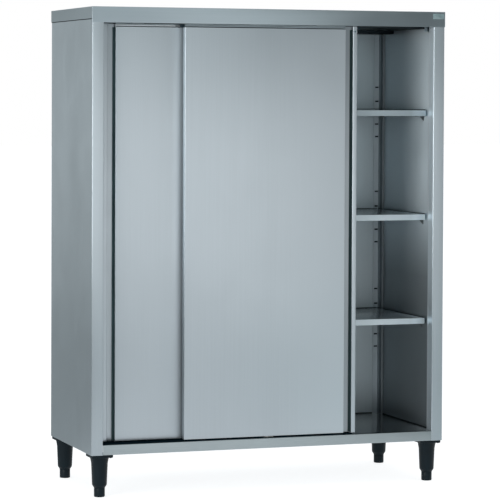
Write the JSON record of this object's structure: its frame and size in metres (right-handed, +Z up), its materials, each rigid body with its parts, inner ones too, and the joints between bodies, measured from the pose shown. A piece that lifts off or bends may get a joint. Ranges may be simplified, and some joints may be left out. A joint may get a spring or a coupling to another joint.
{
  "type": "sliding door cabinet",
  "caption": "Free-standing stainless steel storage cabinet with top-hung sliding doors, lift-off shelves and adjustable feet.",
  "frame": {"origin": "on the floor, under the middle of the top cap", "axes": "+X to the right seen from the front, +Y to the back, +Z up; the doors face -Y"},
  "size_m": [1.4, 0.58, 1.8],
  "materials": {
    "outer_steel": "satin brushed stainless sheet, grain upright on the doors and sides",
    "inner_steel": "satin stainless sheet, finer grain",
    "zinc_hardware": "dull zinc plate",
    "black_plastic": "moulded black plastic with a slight sheen",
    "black_rubber": "matt black rubber",
    "white_nylon": "off-white moulded nylon"
  },
  "bodies": {
    "cabinet": {"top_cap": "outer_steel", "left_side_panel": "outer_steel", "right_side_panel": "outer_steel", "bottom_panel": "outer_steel", "back_panel": "inner_steel", "ceiling_panel": "inner_steel", "left_inner_lining": "inner_steel", "right_inner_lining": "inner_steel", "left_rear_post": "inner_steel", "right_rear_post": "inner_steel", "front_track": "zinc_hardware", "rear_track": "zinc_hardware", "centre_guide": "white_nylon", "front_left_leg_housing": "black_plastic", "front_right_leg_housing": "black_plastic", "rear_left_leg_housing": "black_plastic", "rear_right_leg_housing": "black_plastic", "top_shelf_front_left_clip": "zinc_hardware", "top_shelf_front_right_clip": "zinc_hardware", "top_shelf_rear_left_clip": "zinc_hardware", "top_shelf_rear_right_clip": "zinc_hardware", "middle_shelf_front_left_clip": "zinc_hardware", "middle_shelf_front_right_clip": "zinc_hardware", "middle_shelf_rear_left_clip": "zinc_hardware", "middle_shelf_rear_right_clip": "zinc_hardware", "bottom_shelf_front_left_clip": "zinc_hardware", "bottom_shelf_front_right_clip": "zinc_hardware", "bottom_shelf_rear_left_clip": "zinc_hardware", "bottom_shelf_rear_right_clip": "zinc_hardware"},
    "front_door": {"front_door_skin": "outer_steel", "front_door_inner_pan": "inner_steel", "front_door_handle": "outer_steel", "front_door_hanger_rail": "outer_steel", "front_door_plain_end_bracket": "zinc_hardware", "front_door_plain_end_axle": "zinc_hardware", "front_door_handle_end_bracket": "zinc_hardware", "front_door_handle_end_axle": "zinc_hardware", "front_door_plain_end_bumper": "black_rubber", "front_door_handle_end_bumper": "black_rubber"},
    "rear_door": {"rear_door_skin": "outer_steel", "rear_door_inner_pan": "inner_steel", "rear_door_handle": "outer_steel", "rear_door_hanger_rail": "outer_steel", "rear_door_plain_end_bracket": "zinc_hardware", "rear_door_plain_end_axle": "zinc_hardware", "rear_door_handle_end_bracket": "zinc_hardware", "rear_door_handle_end_axle": "zinc_hardware", "rear_door_plain_end_bumper": "black_rubber", "rear_door_handle_end_bumper": "black_rubber"},
    "front_door_plain_wheel": {"front_door_plain_end_wheel": "white_nylon"},
    "front_door_handle_wheel": {"front_door_handle_end_wheel": "white_nylon"},
    "rear_door_plain_wheel": {"rear_door_plain_end_wheel": "white_nylon"},
    "rear_door_handle_wheel": {"rear_door_handle_end_wheel": "white_nylon"},
    "shelf_top": {"top_shelf": "inner_steel"},
    "shelf_middle": {"middle_shelf": "inner_steel"},
    "shelf_bottom": {"bottom_shelf": "inner_steel"},
    "foot_front_left": {"front_left_adjustable_foot": "black_plastic"},
    "foot_front_right": {"front_right_adjustable_foot": "black_plastic"},
    "foot_rear_left": {"rear_left_adjustable_foot": "black_plastic"},
    "foot_rear_right": {"rear_right_adjustable_foot": "black_plastic"}
  },
  "joints": [
    {"name": "front_door_slide", "type": "slide", "parent": "cabinet", "child": "front_door", "axis": [1, 0, 0], "range_m": [-0.302, 0.292]},
    {"name": "rear_door_slide", "type": "slide", "parent": "cabinet", "child": "rear_door", "axis": [1, 0, 0], "range_m": [0, 0.594]},
    {"name": "front_door_plain_wheel_spin", "type": "hinge", "parent": "front_door", "child": "front_door_plain_wheel", "pos_m": [-0.247, -0.249, 1.765], "axis": [0, 1, 0], "range_deg": [-1265, 1225]},
    {"name": "front_door_handle_wheel_spin", "type": "hinge", "parent": "front_door", "child": "front_door_handle_wheel", "pos_m": [0.21, -0.249, 1.765], "axis": [0, 1, 0], "range_deg": [-1265, 1225]},
    {"name": "rear_door_plain_wheel_spin", "type": "hinge", "parent": "rear_door", "child": "rear_door_plain_wheel", "pos_m": [-0.045, -0.207, 1.765], "axis": [0, 1, 0], "range_deg": [0, 2490]},
    {"name": "rear_door_handle_wheel_spin", "type": "hinge", "parent": "rear_door", "child": "rear_door_handle_wheel", "pos_m": [-0.502, -0.207, 1.765], "axis": [0, 1, 0], "range_deg": [0, 2490]},
    {"name": "top_shelf_lift", "type": "slide", "parent": "cabinet", "child": "shelf_top", "axis": [0, 0, 1], "range_m": [0, 0.05]},
    {"name": "middle_shelf_lift", "type": "slide", "parent": "cabinet", "child": "shelf_middle", "axis": [0, 0, 1], "range_m": [0, 0.05]},
    {"name": "bottom_shelf_lift", "type": "slide", "parent": "cabinet", "child": "shelf_bottom", "axis": [0, 0, 1], "range_m": [0, 0.05]},
    {"name": "front_left_foot_screw", "type": "slide", "parent": "cabinet", "child": "foot_front_left", "axis": [0, 0, -1], "range_m": [0, 0.025]},
    {"name": "front_right_foot_screw", "type": "slide", "parent": "cabinet", "child": "foot_front_right", "axis": [0, 0, -1], "range_m": [0, 0.025]},
    {"name": "rear_left_foot_screw", "type": "slide", "parent": "cabinet", "child": "foot_rear_left", "axis": [0, 0, -1], "range_m": [0, 0.025]},
    {"name": "rear_right_foot_screw", "type": "slide", "parent": "cabinet", "child": "foot_rear_right", "axis": [0, 0, -1], "range_m": [0, 0.025]}
  ],
  "couplings": [
    {"joint": "front_door_plain_wheel_spin", "follows": "front_door_slide", "rad_per_m": 72.993},
    {"joint": "front_door_handle_wheel_spin", "follows": "front_door_slide", "rad_per_m": 72.993},
    {"joint": "rear_door_plain_wheel_spin", "follows": "rear_door_slide", "rad_per_m": 72.993},
    {"joint": "rear_door_handle_wheel_spin", "follows": "rear_door_slide", "rad_per_m": 72.993}
  ]
}
